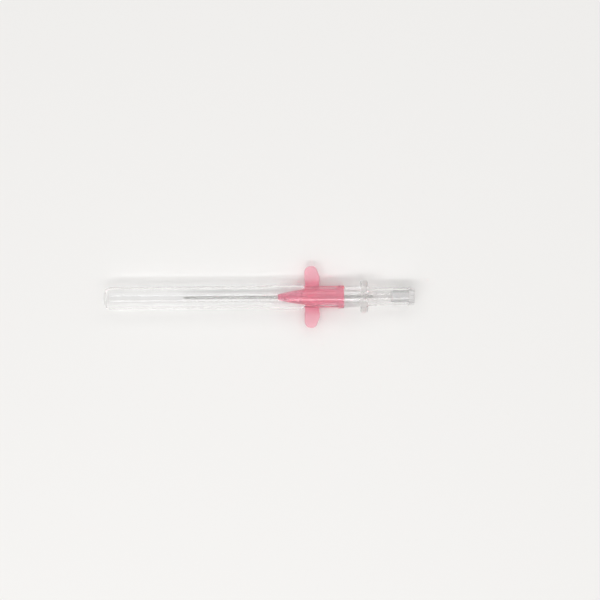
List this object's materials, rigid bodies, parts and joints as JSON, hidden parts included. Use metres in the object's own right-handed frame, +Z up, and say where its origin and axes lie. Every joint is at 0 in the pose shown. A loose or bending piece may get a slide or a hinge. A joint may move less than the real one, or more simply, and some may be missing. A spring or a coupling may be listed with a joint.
{
  "type": "intravenous cannula",
  "caption": "Straight winged intravenous cannula: a soft catheter in a coloured hub over a hollow needle, with a clear flash chamber, a vent plug and a slotted clear needle cover.",
  "frame": {"origin": "middle of the lower flat of the flange behind the hub, on the surface that the part lies on", "axes": "+X along the common line from the needle's point to the vent plug, +Y along one wing, +Z up, out of the needle's bevel"},
  "size_m": [0.1031, 0.0206, 0.0081],
  "materials": {
    "hub_plastic": "translucent pink moulded plastic",
    "catheter_polymer": "thin translucent whitish tube",
    "sleeve_steel": "bright drawn steel",
    "needle_steel": "bright polished steel",
    "clear_adhesive": "clear cured adhesive",
    "chamber_plastic": "clear moulded plastic",
    "plug_plastic": "translucent whitish moulded plastic",
    "filter_membrane": "white porous disc",
    "cover_plastic": "clear moulded plastic"
  },
  "bodies": {
    "catheter": {"winged_hub": "hub_plastic", "catheter_tube": "catheter_polymer", "catheter_sleeve": "sleeve_steel"},
    "needle_assembly": {"introducer_needle": "needle_steel", "needle_adhesive": "clear_adhesive", "flash_chamber": "chamber_plastic"},
    "plug": {"vent_plug": "plug_plastic", "vent_filter": "filter_membrane"},
    "cover": {"needle_cover": "cover_plastic"}
  },
  "joints": [
    {"name": "needle_withdrawal", "type": "slide", "parent": "catheter", "child": "needle_assembly", "axis": [1, 0, 0], "range_m": [0, 0.058]},
    {"name": "plug_pull", "type": "slide", "parent": "needle_assembly", "child": "plug", "axis": [1, 0, 0], "range_m": [0, 0.01]},
    {"name": "cover_pull", "type": "slide", "parent": "catheter", "child": "cover", "axis": [-1, 0, 0], "range_m": [0, 0.065]}
  ]
}
